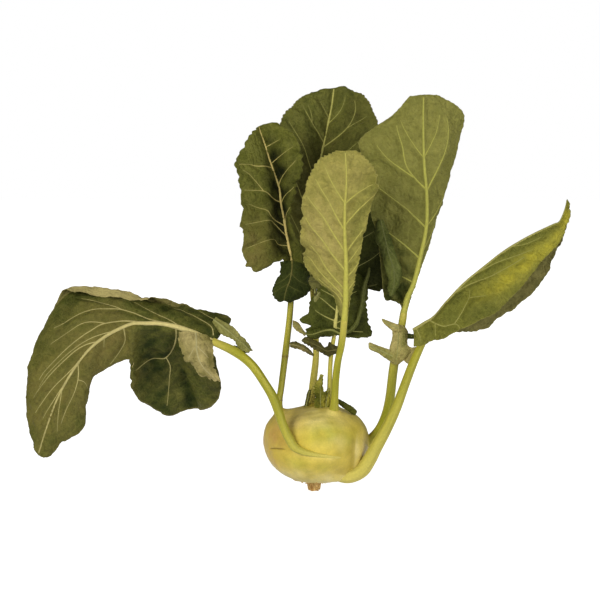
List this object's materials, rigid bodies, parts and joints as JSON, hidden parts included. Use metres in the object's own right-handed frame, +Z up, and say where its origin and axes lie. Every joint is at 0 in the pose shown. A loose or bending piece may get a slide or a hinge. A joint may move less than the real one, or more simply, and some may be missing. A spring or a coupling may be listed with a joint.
{
  "type": "kohlrabi",
  "caption": "Kohlrabi with its leaves: a round swollen stem on a short root stub, with slender leaf stalks and broad ribbed leaf blades spreading upwards and outwards.",
  "frame": {"origin": "centre of the cut foot of the root stub, on the surface the kohlrabi stands on", "axes": "+X to the right along the spread of the leaves, +Y to the back, +Z up along the bulb's axis"},
  "size_m": [0.4052, 0.1308, 0.3033],
  "materials": {
    "bulb_skin": "waxy satin skin",
    "root_wood": "rough dry fibrous cut",
    "leaf_stalk": "smooth satin",
    "leaf_upper_face": "matt, finely veined",
    "leaf_lower_face": "matt, with raised pale veins",
    "pale_leaflet": "matt"
  },
  "bodies": {
    "root": {"bulb": "bulb_skin", "root_stub": "root_wood", "left_drooping_leaf_stalk": "leaf_stalk", "left_drooping_leaf_blade": "leaf_upper_face", "left_upright_leaf_stalk": "leaf_stalk", "left_upright_leaf_blade": "leaf_upper_face", "back_leaf_stalk": "leaf_stalk", "back_leaf_blade": "leaf_upper_face", "front_leaf_stalk": "leaf_stalk", "front_leaf_blade": "leaf_lower_face", "right_upright_leaf_stalk": "leaf_stalk", "right_upright_leaf_blade": "leaf_lower_face", "right_folded_leaf_stalk": "leaf_stalk", "right_folded_leaf_blade": "leaf_upper_face", "inner_leaf_stalk": "leaf_stalk", "inner_leaf_blade": "leaf_upper_face", "shaded_leaf_stalk": "leaf_stalk", "shaded_leaf_blade": "leaf_upper_face", "left_drooping_leaf_ear": "pale_leaflet", "left_upright_leaf_lobe": "leaf_upper_face", "left_stalk_leaflet": "pale_leaflet", "inner_stalk_leaflet": "leaf_upper_face", "right_stalk_wing": "pale_leaflet", "right_stalk_upper_leaflet": "pale_leaflet", "right_stalk_lower_leaflet": "pale_leaflet", "right_stalk_bridge": "pale_leaflet", "crown_right_bract": "leaf_upper_face", "crown_left_bract": "leaf_upper_face", "crown_frill": "leaf_upper_face"}
  },
  "joints": []
}
